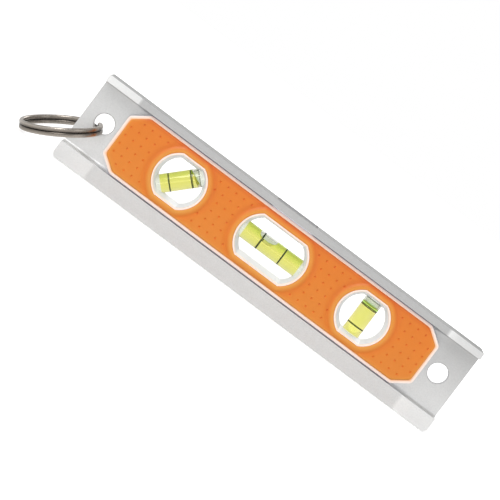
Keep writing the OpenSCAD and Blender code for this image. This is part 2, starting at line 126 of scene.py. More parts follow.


# Extruded aluminium, etched and clear anodised: a frosted grey sheen. The skin left on the end zones is
# brightest; the milled faces, further in than the skin, are greyer, and painted shade darkens them toward the top,
# and the working face on top is greyest, with painted shade for its dark reflection. Painted shade darkens the
# frame past the right end of the body, away from the light on the left, most so at the top.
def makeAluminium():
    material, tree, surface, coords = startMaterial("anodisedAluminium")
    lines = grain(tree, coords, (70, 0.7, 0.7))  # extrusion lines, drawn coarser than the real 0.1 mm
    frost = grain(tree, coords, (0.45, 0.45, 0.45), 4.0)  # etched grain under the anodising
    axes = addNode(tree, "ShaderNodeSeparateXYZ", {0: coords}).outputs
    fromWeb = combine(tree, "ABSOLUTE", axes["Y"])
    zone = {name: [limit * mm for limit in limits] for name, limits in aluminiumZone.items()}
    # painted shade: the milled faces and the web darken toward the top
    milled = blendValue(tree, axes["Z"], zone["inner"], aluminiumTone["milled"])
    web = blendValue(tree, axes["Z"], zone["inner"], aluminiumTone["web"])
    toneAndPaintedLight = blendValue(tree, fromWeb, zone["webY"], (web, milled))
    toneAndPaintedLight = blendValue(tree, fromWeb, zone["skinY"], (toneAndPaintedLight, aluminiumTone["skin"]))
    # painted shade: the top face is darker, standing in for its dark reflection
    toneAndPaintedLight = blendValue(tree, axes["Z"], zone["topZ"], (toneAndPaintedLight, aluminiumTone["topFaceShade"]))
    # painted shade past the right end of the body, most so at the top
    farEndShade = blendValue(tree, axes["Z"], zone["whole"], aluminiumTone["farEndShade"])
    shade = blendValue(tree, axes["X"], zone["farEndX"], (1.0, farEndShade))
    toneAndPaintedLight = combine(tree, "MULTIPLY", toneAndPaintedLight, shade)
    grey = blendColour(tree, frost, [(0.3, "#F4F4F3"), (0.7, "#FFFFFE")])
    toned = addNode(tree, "ShaderNodeHueSaturation", {"Color": grey, "Value": toneAndPaintedLight})
    tree.links.new(toned.outputs["Color"], surface.inputs["Base Color"])
    surface.inputs["Metallic"].default_value = 1.0
    roughness = blendValue(tree, lines, (0.3, 0.7), aluminiumTone["plainRoughness"])
    roughness = blendValue(tree, axes["Z"], zone["topZ"], (roughness, aluminiumTone["topRoughness"]))
    tree.links.new(roughness, surface.inputs["Roughness"])
    addBump(tree, surface, combine(tree, "ADD", lines, frost), 0.004)
    return material


# white body: depths where the painted warm light on lips and rim begins, reach of the ramp that tints the rim from
# its border, how much of it the long sides leave out, where painted shade greys those, and the strength of the glow
whiteBody = dict(warmDepth=(7.0, 7.5), tintReach=5, sideShift=0.3, longEdgeShade=(15.5, 16.4), glow=0.11)


# Injection-moulded white ABS with a fine spark-eroded grain, so highlights stay soft. The rim and lips beside the
# cover are painted warm, a painted glow of the orange light that shines through them, most so along the rim's
# inner border, where the orange band also stands in for the cover's edge at the ends. Painted shade greys the rim
# along the long sides.
def makeWhitePlastic():
    material, tree, surface, coords = startMaterial("mouldedWhiteAbs")
    cloud = grain(tree, coords, (18, 18, 18))
    along, depth, height = distancesFrom(tree, coords, (0, 0, place["midZ"]))
    # painted warm light from the orange cover on the lips and rim
    warmth = blendValue(tree, depth, [limit * mm for limit in whiteBody["warmDepth"]], (0.0, 1.0))
    # inset from the body's outline: the least distance from its ends, sloping corners and sides
    halfX, halfZ, cx, cz = outline["length"] / 2, outline["height"] / 2, outline["cornerX"], outline["cornerZ"]
    diagonal = math.hypot(cx, cz)
    fromEnd = combine(tree, "SUBTRACT", halfX * mm, along)
    share = combine(tree, "MULTIPLY_ADD", height, cx / diagonal, -(halfX * cz + halfZ * cx - cx * cz) / diagonal * mm)
    fromCorner = combine(tree, "SUBTRACT", combine(tree, "MULTIPLY", along, -cz / diagonal), share)
    fromSide = combine(tree, "SUBTRACT", (halfZ - whiteBody["sideShift"]) * mm, height)
    inset = combine(tree, "MINIMUM", combine(tree, "MINIMUM", fromEnd, fromCorner), fromSide)
    border = blendValue(tree, inset, (0.0, whiteBody["tintReach"] * mm), (0.0, 1.0))
    # painted orange light along the rim's inner border, which also stands in for the cover's edge at the ends
    rim = blendColour(tree, border, [(0.15, "#FFF6F0"), (0.37, "#FFC58A"), (0.41, "#FFF6EE")])
    base = addNode(tree, "ShaderNodeMix", {0: warmth, 6: linearColour("#EAEAEE"), 7: rim}, data_type="RGBA").outputs[2]
    # painted shade greys the rim along the long sides
    longEdgeShade = blendValue(tree, height, [limit * mm for limit in whiteBody["longEdgeShade"]], (0.0, 1.0))
    grey = blendColour(tree, longEdgeShade, [(0.0, "#FFFFFF"), (1.0, "#D9D6E4")])
    base = addNode(tree, "ShaderNodeMix", {0: 1.0, 6: base, 7: grey}, data_type="RGBA", blend_type="MULTIPLY")
    tinted = addNode(tree, "ShaderNodeHueSaturation", {"Color": base.outputs[2],
                     "Value": blendValue(tree, cloud, (0.3, 0.7), (0.98, 1.0))})
    tree.links.new(tinted.outputs["Color"], surface.inputs["Base Color"])
    # a faint glow stands for light that passes through the thin walls
    glow = blendColour(tree, warmth, [(0.0, "#F6F8FF"), (1.0, "#FF9A50")])
    tree.links.new(glow, surface.inputs["Emission Color"])
    surface.inputs["Emission Strength"].default_value = whiteBody["glow"]
    surface.inputs["Roughness"].default_value = 0.42
    surface.inputs["IOR"].default_value = 1.52
    addBump(tree, surface, grain(tree, coords, (0.4, 0.4, 0.4), 3.0), 0.01)
    return material


# Orange ABS cover: satin skin. Painted light makes it paler on the thin collars, which let light through, a shade
# paler toward the base and paler along the edges below the upper side; painted shade deepens it in the hollows and
# dimples and along the upper edge
def makeOrangePlastic():
    material, tree, surface, coords = startMaterial("mouldedOrangeAbs")
    # the attribute read here carries painted light on collars and edges and painted shade in hollows, dimples and the
    # upper edge
    toneAndPaintedLight = addNode(tree, "ShaderNodeAttribute", attribute_name="toneAndPaintedLight").outputs["Fac"]
    height = addNode(tree, "ShaderNodeSeparateXYZ", {0: coords}).outputs["Z"]
    # painted light: a shade paler toward the base
    toneAndPaintedLight = combine(tree, "ADD", toneAndPaintedLight, blendValue(tree, height, (10 * mm, 40 * mm), (0.15, -0.07)))
    cloud = grain(tree, coords, (14, 14, 14))
    base = blendColour(tree, toneAndPaintedLight, [(0.0, "#E26A1A"), (0.45, "#EC8321"), (1.0, "#EFA042")])
    tinted = addNode(tree, "ShaderNodeHueSaturation", {"Color": base,
                     "Value": blendValue(tree, cloud, (0.3, 0.7), (0.985, 1.015))})
    tree.links.new(tinted.outputs["Color"], surface.inputs["Base Color"])
    tree.links.new(blendValue(tree, grain(tree, coords, (0.8, 0.8, 0.8)), (0.3, 0.7), (0.4, 0.5)),
                   surface.inputs["Roughness"])
    surface.inputs["IOR"].default_value = 1.52
    addBump(tree, surface, grain(tree, coords, (0.35, 0.35, 0.35), 3.0), 0.015)
    return material


# Cast acrylic tube: water clear with a faint green edge
def makeAcrylic():
    material, tree, surface, coords = startMaterial("clearAcrylic")
    haze = grain(tree, coords, (3, 3, 3))
    tree.links.new(blendColour(tree, haze, [(0.3, "#E2E6D6"), (0.7, "#E6EADC")]), surface.inputs["Base Color"])
    surface.inputs["Roughness"].default_value = 0.0
    surface.inputs["Transmission Weight"].default_value = 1.0
    surface.inputs["IOR"].default_value = 1.49
    return material


# Spirit with fluorescent dye: it swallows blue, so it looks yellow-green. A painted tint, standing in for light bent
# by the tube, makes it a shade greener along the upper side and green at its surface, and less green below
def makeLiquid():
    material, tree, surface, coords = startMaterial("fluorescentSpirit")
    # painted tint read from rise: greener above, green at the surface, less green below
    rise = addNode(tree, "ShaderNodeAttribute", attribute_name="rise").outputs["Fac"]
    tint = blendColour(tree, rise, [(0.1, "#F3E8F5"), (0.32, "#FFEFFB"), (0.57, "#FCECF9"), (0.67, "#F5F2D0"),
                                    (0.85, "#E0F0A1"), (0.97, "#BDCD80"), (1.0, "#C8F0D8")])
    tree.links.new(tint, surface.inputs["Base Color"])
    surface.inputs["Transmission Weight"].default_value = 1.0
    surface.inputs["Roughness"].default_value = 0.0
    surface.inputs["IOR"].default_value = 1.0  # the clear solid round it bends the light
    # a painted glow, after the dye's fluorescence, evens out what is seen through it
    surface.inputs["Emission Color"].default_value = linearColour("#E8E650")
    surface.inputs["Emission Strength"].default_value = 0.08
    dye = addNode(tree, "ShaderNodeVolumeAbsorption", {"Color": (0.93, 0.975, 0.28, 1.0), "Density": 300.0})
    tree.links.new(dye.outputs["Volume"], tree.nodes["Material Output"].inputs["Volume"])
    return material


# Dark green ink of the reading lines, printed round the tube
def makeInk():
    material, tree, surface, coords = startMaterial("printedInk")
    tree.links.new(blendColour(tree, grain(tree, coords, (0.3, 0.3, 0.3)), [(0.3, "#1E300A"), (0.7, "#2A3E10")]),
                   surface.inputs["Base Color"])
    surface.inputs["Roughness"].default_value = 0.3
    return material


# Nickel plate on sintered magnets: warm grey and fairly bright
def makeNickel():
    material, tree, surface, coords = startMaterial("nickelPlate")
    surface.inputs["Base Color"].default_value = linearColour("#B9B4AC")
    surface.inputs["Metallic"].default_value = 1.0
    pits = grain(tree, coords, (0.5, 0.5, 0.5), 4.0)
    tree.links.new(blendValue(tree, pits, (0.3, 0.7), (0.2, 0.36)), surface.inputs["Roughness"])
    addBump(tree, surface, pits, 0.01)
    return material


# Hard-drawn steel wire, nickel plated: brown-grey, with painted shade in the groove between the coils
def makeRingSteel():
    material, tree, surface, coords = startMaterial("platedSpringSteel")
    crest = addNode(tree, "ShaderNodeAttribute", attribute_name="crest").outputs["Fac"]
    tree.links.new(blendColour(tree, crest, [(0.0, "#4A443F"), (0.45, "#958D84"), (1.0, "#C0B8AF")]),
                   surface.inputs["Base Color"])
    surface.inputs["Metallic"].default_value = 1.0
    scratches = grain(tree, coords, (0.3, 0.3, 0.3), 4.0)
    tree.links.new(blendValue(tree, scratches, (0.3, 0.7), (0.2, 0.34)), surface.inputs["Roughness"])
    addBump(tree, surface, scratches, 0.008)
    return material


aluminium = makeAluminium()
whitePlastic = makeWhitePlastic()
orangePlastic = makeOrangePlastic()
acrylic = makeAcrylic()
liquid = makeLiquid()
ink = makeInk()
nickel = makeNickel()
ringSteel = makeRingSteel()
print("materials made")


# Quads between the rows and columns of a grid; wrap joins the last column to the first
def gridFaces(rows, cols, wrap, flip=False):
    r, c = np.meshgrid(np.arange(rows - 1), np.arange(cols if wrap else cols - 1), indexing="ij")
    right = (c + 1) % cols
    quads = np.stack([r * cols + c, r * cols + right, (r + 1) * cols + right, (r + 1) * cols + c], -1)
    quads = quads.reshape(-1, 4)
    return quads[:, ::-1] if flip else quads


# points closer than merge mm are one, edges shorter than collapse mm go, and edges over sharpAngle degrees are sharp
meshLimit = dict(merge=0.002, collapse=0.0005, sharpAngle=35)


# Makes one mesh piece of several sheets, each its points in mm, its faces and its attribute values.
# Points that coincide are merged, so that grids close at their poles and join at their borders.
def makePiece(name, sheets, material, body, replaced, attribute=None, walls=None):
    points = np.concatenate([sheet[0].reshape(-1, 3) for sheet in sheets]) * mm
    starts = np.cumsum([0] + [sheet[0].reshape(-1, 3).shape[0] for sheet in sheets])
    faces = [face for sheet, start in zip(sheets, starts) for face in (sheet[1] + start).tolist()]
    faces += [] if walls is None else walls.tolist()
    mesh = bpy.data.meshes.new(name)
    mesh.from_pydata(points.tolist(), [], faces)
    if attribute:
        values = np.concatenate([np.broadcast_to(sheet[2], sheet[0].shape[:-1]).reshape(-1) for sheet in sheets])
        mesh.attributes.new(attribute, "FLOAT", "POINT").data.foreach_set("value", values.astype(np.float32))
    work = bmesh.new()
    work.from_mesh(mesh)
    bmesh.ops.remove_doubles(work, verts=work.verts, dist=meshLimit["merge"] * mm)
    bmesh.ops.dissolve_degenerate(work, edges=work.edges, dist=meshLimit["collapse"] * mm)
    for face in work.faces:
        face.smooth = True
    for edge in work.edges:
        edge.smooth = edge.calc_face_angle(0) < math.radians(meshLimit["sharpAngle"])
    work.to_mesh(mesh)
    work.free()
    return addPiece(name, mesh, material, body, replaced)


def addPiece(name, mesh, material, body, replaced):
    mesh.materials.clear()
    mesh.materials.append(material)
    piece = bpy.data.objects.new(name, mesh)
    bpy.context.scene.collection.objects.link(piece)
    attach(piece, body)
    if replaced:
        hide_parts(*replaced)
    return piece


# width in mm of the eased edges; faces within flatAngle degrees are joined and edges over bevelAngle are eased
easedEdge = dict(frame=0.2, carrier=0.15, magnet=0.1, merge=0.001, flatAngle=0.4, bevelAngle=25)


# A merged copy of a CAD node with its flat faces joined and its edges eased by a bevel of width mm
def easedCopy(node, name, material, width):
    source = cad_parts[node].data
    mesh = bpy.data.meshes.new(name)
    mesh.from_pydata([v.co[:] for v in source.vertices], [], [p.vertices[:] for p in source.polygons])
    work = bmesh.new()
    work.from_mesh(mesh)
    bmesh.ops.remove_doubles(work, verts=work.verts, dist=easedEdge["merge"] * mm)
    flat = math.radians(easedEdge["flatAngle"])
    bmesh.ops.dissolve_limit(work, angle_limit=flat, verts=work.verts, edges=work.edges)
    for face in work.faces:
        face.smooth = True
    work.to_mesh(mesh)
    work.free()
    piece = addPiece(name, mesh, material, "level", [node])
    bevel = piece.modifiers.new("easedEdges", "BEVEL")
    bevel.width = width * mm
    bevel.segments = 2
    bevel.limit_method = "ANGLE"
    bevel.angle_limit = math.radians(easedEdge["bevelAngle"])
    bevel.harden_normals = True
    bevel.use_clamp_overlap = True
    return piece


easedCopy("frame", "aluminiumFrame", aluminium, easedEdge["frame"])
easedCopy("front_carrier", "frontBody", whitePlastic, easedEdge["carrier"])
easedCopy("rear_carrier", "rearBody", whitePlastic, easedEdge["carrier"])
for number in (1, 2, 3, 4):
    easedCopy("magnet_%d" % number, "magnetDisc%d" % number, nickel, easedEdge["magnet"])
print("frame, body halves and magnets made")

# orange cover: its depths, its edge's inset from the body's outline, its windows, the dimples' grid and how far
# they keep from edge, corners and windows, the face's tone and where the painted edge shade of the upper side sets in
cover = dict(
    cornerBlend=0.8, backDepth=6.75, faceDepth=8.2, edgeInset=1.75, windowHeight=23, windowBlend=0.5,
    windowPoints=192, cornerPoints=7, sideStep=2.5, dimplePitch=4.4, innerColumn=18.9, outerColumn=65.8,
    dimplePoints=14, edgeClear=1, cornerClear=1.1, windowClear=3.0, faceTone=0.45, upperBlend=(11, 13.5),
)
# windows of the cover: middle, distance from the middle to each end's centre, and end radius
windows = [dict(x=-place["sideX"], half=0, radius=12.9), dict(x=0, half=4.6, radius=13.7),
           dict(x=place["sideX"], half=0, radius=12.9)]
# over the collar and through the hollow round a window: distance from its wall, rise above the face, and change
# of tone: painted light on the collar, painted shade in the hollow
collarSection = np.array([
    (0, 0.08, 0.3), (0.05, 0.21, 0.35), (0.16, 0.31, 0.4), (0.34, 0.37, 0.44), (0.6, 0.4, 0.46), (0.9, 0.4, 0.43),
    (1.2, 0.385, 0.34), (1.5, 0.345, 0.25), (1.8, 0.28, 0.17), (2.05, 0.2, 0.08), (2.3, 0.1, -0.02),
    (2.5, 0.01, -0.09), (2.7, -0.07, -0.14), (2.9, -0.13, -0.17), (3.15, -0.16, -0.18), (3.45, -0.155, -0.17),
    (3.75, -0.12, -0.15), (4.05, -0.075, -0.13), (4.35, -0.035, -0.1), (4.65, -0.01, -0.08), (4.95, 0, -0.05),
    (5.5, 0, -0.02), (6.2, 0, 0)])
# over the rounded edge of the cover: inset from the body's outline, rise, painted shade along the upper side,
# and the painted light that is added to it along the other sides, where light shines through
edgeSection = np.array([
    (1.75, -0.6, -0.25, 0.9), (1.796, -0.37, -0.25, 0.85), (1.926, -0.176, -0.25, 0.7), (2.12, -0.046, -0.23, 0.52),
    (2.35, 0, -0.2, 0.4), (2.7, 0, -0.16, 0.27), (3.95, 0, 0, 0)])
# across a dimple: distance from its middle, rise and change of tone, a painted shade in the dimple
dimpleSection = np.array([
    (0, -0.38, -0.3), (0.15, -0.36, -0.3), (0.27, -0.29, -0.27), (0.37, -0.19, -0.2), (0.45, -0.09, -0.13),
    (0.53, -0.02, -0.07), (0.6, 0, -0.03), (0.7, 0, 0)])


# The larger of several fields, rounded where they differ by less than reach
def smoothMax(fields, reach):
    result = fields[0]
    for field in fields[1:]:
        share = np.clip(0.5 + 0.5 * (result - field) / reach, 0, 1)
        result = field + (result - field) * share + reach * share * (1 - share)
    return result


# How far a point lies inside the body's outline: the least distance from its sides, ends and sloping corners
def insetOf(x, z):
    halfX, halfZ = outline["length"] / 2, outline["height"] / 2
    cx, cz = outline["cornerX"], outline["cornerZ"]
    slope = ((abs(x) - halfX + cx) * cz + (abs(z) - halfZ) * cx) / math.hypot(cx, cz)
    return -smoothMax([abs(z) - halfZ, abs(x) - halfX, slope], cover["cornerBlend"])


# How far a point lies outside a window: the larger of its distances from the round end and from the flats
def growOf(x, z, window):
    roundEnd = np.hypot(np.maximum(abs(x - window["x"]) - window["half"], 0), z) - window["radius"]
    return smoothMax([roundEnd, abs(z) - cover["windowHeight"] / 2], cover["windowBlend"])


# A loop round a window on which growOf is constant, found by halving the range of the radius at each angle
def windowLoop(window, grow):
    angle = np.linspace(0, 2 * np.pi, cover["windowPoints"], endpoint=False)
    c, s = np.cos(angle), np.sin(angle)
    low, high = np.zeros_like(c), np.full_like(c, 40.0)
    for halving in range(40):
        middle = (low + high) / 2
        inside = growOf(window["x"] + middle * c, middle * s, window) < grow
        low, high = np.where(inside, middle, low), np.where(inside, high, middle)
    return np.stack([window["x"] + low * c, low * s], -1)


# The body's eight-sided outline, drawn in by the inset and its corner radius, then let out round each corner,
# with points added along the straight sides
def bodyLoop(inset):
    x, z = outline["length"] / 2, outline["height"] / 2
    cx, cz, radius = outline["cornerX"], outline["cornerZ"], outline["cornerR"]
    corners = np.array([(cx - x, -z), (x - cx, -z), (x, cz - z), (x, z - cz),
                        (x - cx, z), (cx - x, z), (-x, z - cz), (-x, cz - z)])
    sides = np.roll(corners, -1, 0) - corners
    normals = np.stack([sides[:, 1], -sides[:, 0]], 1) / np.linalg.norm(sides, axis=1, keepdims=True)
    lines = np.stack([np.roll(normals, 1, 0), normals], 1)
    reach = np.einsum("ijk,ik->ij", lines, corners) - inset - radius
    centres = np.linalg.solve(lines, reach[..., None])[..., 0]
    start = np.arctan2(lines[:, 0, 1], lines[:, 0, 0])
    turn = (np.arctan2(lines[:, 1, 1], lines[:, 1, 0]) - start) % (2 * np.pi)
    angle = start[:, None] + turn[:, None] * np.linspace(0, 1, cover["cornerPoints"])
    arcs = centres[:, None] + radius * np.stack([np.cos(angle), np.sin(angle)], -1)
    loop = []
    for arc, following in zip(arcs, np.roll(arcs, -1, 0)):
        count = max(int(np.linalg.norm(following[0] - arc[-1]) / cover["sideStep"]), 1)
        share = np.linspace(0, 1, count + 1)[1:-1, None]
        loop += [arc, arc[-1] + (following[0] - arc[-1]) * share]
    return np.concatenate(loop)


# The dimples' middles: six rows in four fields, left out near the windows and the sloping corners
def dimplePlaces():
    pitch = cover["dimplePitch"]
    columns = np.concatenate([start + pitch * np.arange(5) for start in (cover["innerColumn"], cover["outerColumn"])])
    x, z = np.meshgrid(np.concatenate([-columns, columns]), pitch * np.arange(-2.5, 3), indexing="ij")
    x, z = x.ravel(), z.ravel()
    dx = outline["length"] / 2 - cover["edgeInset"] - abs(x)
    dz = outline["height"] / 2 - cover["edgeInset"] - abs(z)
    keep = np.minimum(dx, dz) > cover["edgeClear"]
    keep &= dx / outline["cornerX"] + dz / outline["cornerZ"] > cover["cornerClear"]
    for window in windows:
        away = np.hypot(np.maximum(abs(x - window["x"]) - window["half"], 0), z) - window["radius"]
        keep &= away > cover["windowClear"]
    return np.stack([x[keep], z[keep]], -1)


# The cover's face at x, z: the flat face plus what the edge, the collars and the nearest dimple add,
# as rise and as change of tone, which is painted light and shade
def coverFace(x, z, middles):
    total = np.stack([np.full_like(x, cover["faceDepth"]), np.full_like(x, cover["faceTone"])])
    near = np.sqrt(((np.stack([x, z], -1)[:, None] - middles[None]) ** 2).sum(-1).min(1))
    fields = [(insetOf(x, z), edgeSection), (near, dimpleSection)]
    fields += [(growOf(x, z, window), collarSection) for window in windows]
    for field, section in fields:
        total += np.stack([np.interp(field, section[:, 0], section[:, column]) for column in (1, 2)])
    upper = np.interp(z, cover["upperBlend"], (0, 1))
    total[1] += (1 - upper) * np.interp(insetOf(x, z), edgeSection[:, 0], edgeSection[:, 3])
    return total


# One orange cover. Loops along every edge, collar, hollow and dimple are joined into triangles, which are then
# lifted to the height of the face; the same triangles turned over make its back, and walls join the two.
def makeCover(name, side, replaced):
    middles = dimplePlaces()
    angle = np.linspace(0, 2 * np.pi, cover["dimplePoints"], endpoint=False)
    circle = np.stack([np.cos(angle), np.sin(angle)], -1)
    border = bodyLoop(cover["edgeInset"])
    loops = [border] + [bodyLoop(row[0]) for row in edgeSection[1:]]
    loops += [windowLoop(window, row[0]) for window in windows for row in collarSection]
    loops += [middle + row[0] * circle for middle in middles for row in dimpleSection[1:]]
    starts = np.cumsum([0] + [len(loop) for loop in loops])
    edges = [(start + i, start + (i + 1) % len(loop)) for loop, start in zip(loops, starts) for i in range(len(loop))]
    flatPoints = np.concatenate(loops + [middles])
    found = delaunay_2d_cdt(flatPoints.tolist(), edges, [], 0, 1e-6, False)
    x, z = np.array([tuple(v) for v in found[0]]).T
    faces = np.array(found[2])
    middleX, middleZ = x[faces].mean(1), z[faces].mean(1)
    keep = np.ones(len(faces), bool)
    for start, end in zip(border, np.roll(border, -1, 0)):
        keep &= (end[0] - start[0]) * (middleZ - start[1]) - (end[1] - start[1]) * (middleX - start[0]) > 0
    for window in windows:
        keep &= growOf(middleX, middleZ, window) > 0
    faces = faces[keep]
    depth, toneAndPaintedLight = coverFace(x, z, middles)
    links = np.concatenate([faces[:, [0, 1]], faces[:, [1, 2]], faces[:, [2, 0]]])
    known = set(map(tuple, links.tolist()))
    rim = np.array([link for link in links.tolist() if (link[1], link[0]) not in known])
    count = len(x)
    front = np.stack([x, -depth, z], -1)
    back = np.stack([x, np.full(count, -float(cover["backDepth"])), z], -1)
    walls = np.stack([rim[:, 1], rim[:, 0], rim[:, 0] + count, rim[:, 1] + count], -1)
    points = np.concatenate([front, back]) * (1, -side, 1) + (0, 0, place["midZ"])
    triangles = np.concatenate([faces, faces[:, ::-1] + count])
    if side > 0:
        triangles, walls = triangles[:, ::-1], walls[:, ::-1]
    used = np.zeros(2 * count, bool)
    used[triangles] = True
    order = np.cumsum(used) - 1
    sheets = [(points[used], order[triangles], np.tile(toneAndPaintedLight, 2)[used])]
    return makePiece(name, sheets, orangePlastic, "level", [replaced], "toneAndPaintedLight", order[walls])


makeCover("frontCover", -1, "front_cover")
makeCover("rearCover", 1, "rear_cover")
print("covers made")

# every vial: sizes of its tube and barrel-shaped bore, how far the air reaches into the liquid, and how far before
# a tilted surface's lowest point its air begins
vial = dict(radius=4.33, bore=3.3, barrelR=600, edgeRound=0.35, chamberRound=0.5, overlap=0.03, airLead=1.2)
# points round the tube, across the surface, along the arc of a section, along each kind of liquid and air, and the
# rings of the upright vial's wall that count as surface
vialPoints = dict(around=96, across=25, arc=74, topSurface=14, topLiquid=140, topAir=30, liquid=240, bubble=90,
                  tiltedAir=120, surfaceRings=12)
# printed line: how deep it sits in the tube, how far it stands out, its foot and the width of its bevel
inkLine = dict(sunk=0.1, raised=0.03, foot=0.005, bevel=0.05)
# Each vial: middle, tilt of its axis above level, tube and chamber length, distance between the lines and their
# width, how much greener it is painted above, and the liquid's surface. The level vial's bubble has a middle, a
# length and the surface's height at the walls and along the middle. The diagonal vial's surface crosses the axis
# at slope (from there at wall and at middle) and runs down by 1/lean along it. The plumb vial's has its height in
# the middle and at the wall.
vials = dict(
    level=dict(x=0, tilt=0, length=36, chamber=30, gap=12, lineWidth=0.65, greener=1.0, bubble=(-3.7, 9.2), wall=1.5,
               middle=-0.1),
    diagonal=dict(x=-place["sideX"], tilt=45, length=23.6, chamber=18.2, gap=10.2, lineWidth=0.43, greener=0.7,
                  slope=6.9, lean=0.45, wall=0.6, middle=-0.8),
    plumb=dict(x=place["sideX"], tilt=90, length=23.6, chamber=18.2, gap=10.2, lineWidth=0.43, greener=0.0,
               top=(5.9, 6.8)),
)


# Moves points drawn along X round the origin to a vial's place
def toVial(points, spec):
    turn = math.radians(spec["tilt"])
    x = points[..., 0] * math.cos(turn) - points[..., 2] * math.sin(turn) + spec["x"]
    z = points[..., 0] * math.sin(turn) + points[..., 2] * math.cos(turn) + place["midZ"]
    return np.stack([x, points[..., 1], z], -1)


# A profile of (distance along the axis, radius) turned round the X axis
def turnProfile(profile, flip=False):
    profile = np.array(profile, float)
    angle = np.linspace(0, 2 * np.pi, vialPoints["around"], endpoint=False)
    x = np.broadcast_to(profile[:, :1], (len(profile), len(angle)))
    points = np.stack([x, profile[:, 1:] * np.cos(angle), profile[:, 1:] * np.sin(angle)], -1)
    return points, gridFaces(len(profile), len(angle), True, flip)


# Rounded corner of a turned profile: quarter circle from angle a0 to a1 (degrees) about a centre
def roundCorner(x, r, radius, a0, a1):
    angle = np.radians(np.linspace(a0, a1, 5))
    return list(zip(x + radius * np.cos(angle), r + radius * np.sin(angle)))


# The radius of the barrel-shaped bore at x: the middle radius less x squared over twice the barrel's radius,
# less a quarter circle at the chamber's ends
def boreRadius(x, spec):
    soft = vial["chamberRound"]
    inEnd = np.clip((abs(np.asarray(x)) - spec["chamber"] / 2 + soft) / soft, 0, 1)
    return vial["bore"] - np.asarray(x) ** 2 / (2 * vial["barrelR"]) - soft * (1 - np.sqrt(1 - inEnd ** 2))


# Height of the liquid's surface at x, at the walls and along the middle, lowered by drop: the bubble swells as
# (1 - |u| to the power 2.6) to the power 0.5 along its length, and a tilted surface falls by 1/lean as x rises
def surfaceHeights(x, spec, drop=0.0):
    radius = boreRadius(x, spec)
    wall, middle = radius, radius
    if "bubble" in spec:
        u = (x - spec["bubble"][0]) / spec["bubble"][1] * 2
        swell = np.maximum(1 - abs(u) ** 2.6, 0) ** 0.5
        wall, middle = (radius - (radius - spec[k] + drop) * swell for k in ("wall", "middle"))
    if "slope" in spec:
        falls = [(x - spec["slope"] - spec[k] + drop) / spec["lean"] for k in ("wall", "middle")]
        wall, middle = (-smoothMax([fall, -radius], 0.6) for fall in falls)
        middle = np.minimum(middle, wall)
    return radius, np.clip(wall, -radius, radius), np.clip(middle, -radius, radius)


# Sections across the bore at each x, on one side of the liquid's surface. The surface is a parabola across the
# bore: height = middle + (wall - middle) * (share of the half width) squared, and an arc of the bore closes the
# section over the bubble or under the liquid.
def boreSections(x, heights, over):
    radius, wall, middle = heights
    width = np.sqrt(np.maximum(radius ** 2 - wall ** 2, 0))
    across = np.linspace(1, -1, vialPoints["across"])
    surfaceY = width[:, None] * across
    surfaceZ = middle[:, None] + (wall - middle)[:, None] * across ** 2
    low = np.arctan2(wall, width)
    turn = 2 * low - np.pi if over else np.pi + 2 * low
    angle = (np.pi - low)[:, None] + turn[:, None] * np.linspace(0, 1, vialPoints["arc"])[1:-1]
    y = np.concatenate([surfaceY, radius[:, None] * np.cos(angle)], 1)
    z = np.concatenate([surfaceZ, radius[:, None] * np.sin(angle)], 1)
    return np.stack([x[:, None] + 0 * y, y, z], -1)


# Closes a stack of sections at each end with its section's middle
def closeEnds(sections):
    middles = sections.mean(1, keepdims=True) + 0 * sections
    return np.concatenate([middles[:1], sections, middles[-1:]])


# Liquid of a vial as a sheet, whose last item marks its surface. The upright vial's is a turned profile with a
# curved top.
def liquidSheet(spec):
    half = spec["chamber"] / 2
    if "top" in spec:
        centre, edge = spec["top"]
        share = np.linspace(0, 1, vialPoints["topSurface"])
        x = np.linspace(-half, edge, vialPoints["topLiquid"])
        surface = list(zip(centre + (edge - centre) * share[:-1] ** 3, share[:-1] * boreRadius(edge, spec)))
        points, faces = turnProfile(surface + list(zip(x, boreRadius(x, spec)))[::-1] + [(-half, 0)], True)
        return points, faces, np.arange(len(points))[:, None] < len(share) + vialPoints["surfaceRings"]
    x = np.linspace(-half, half, vialPoints["liquid"])
    points = closeEnds(boreSections(x, surfaceHeights(x, spec), False))
    faces = gridFaces(points.shape[0], points.shape[1], True)
    return points, faces, np.arange(points.shape[1]) < vialPoints["across"]


# Air of a vial as a sheet, lowered into the liquid by the overlap
def bubbleSheet(spec):
    half, overlap = spec["chamber"] / 2, vial["overlap"]
    if "top" in spec:
        centre, edge = (height - overlap for height in spec["top"])
        share = np.linspace(0, 1, vialPoints["topSurface"])
        x = np.linspace(edge, half, vialPoints["topAir"])
        surface = list(zip(centre + (edge - centre) * share[:-1] ** 3, share[:-1] * boreRadius(edge, spec)))
        return turnProfile(surface + list(zip(x, boreRadius(x, spec))) + [(half, 0)], True)
    if "bubble" in spec:
        middle, length = spec["bubble"]
        x = middle + length / 2 * np.sin(np.linspace(-np.pi / 2, np.pi / 2, vialPoints["bubble"]))
    else:
        x = np.linspace(spec["slope"] - vial["bore"] - vial["airLead"], half, vialPoints["tiltedAir"])
    points = closeEnds(boreSections(x, surfaceHeights(x, spec, overlap), True))
    return points, gridFaces(points.shape[0], points.shape[1], True)


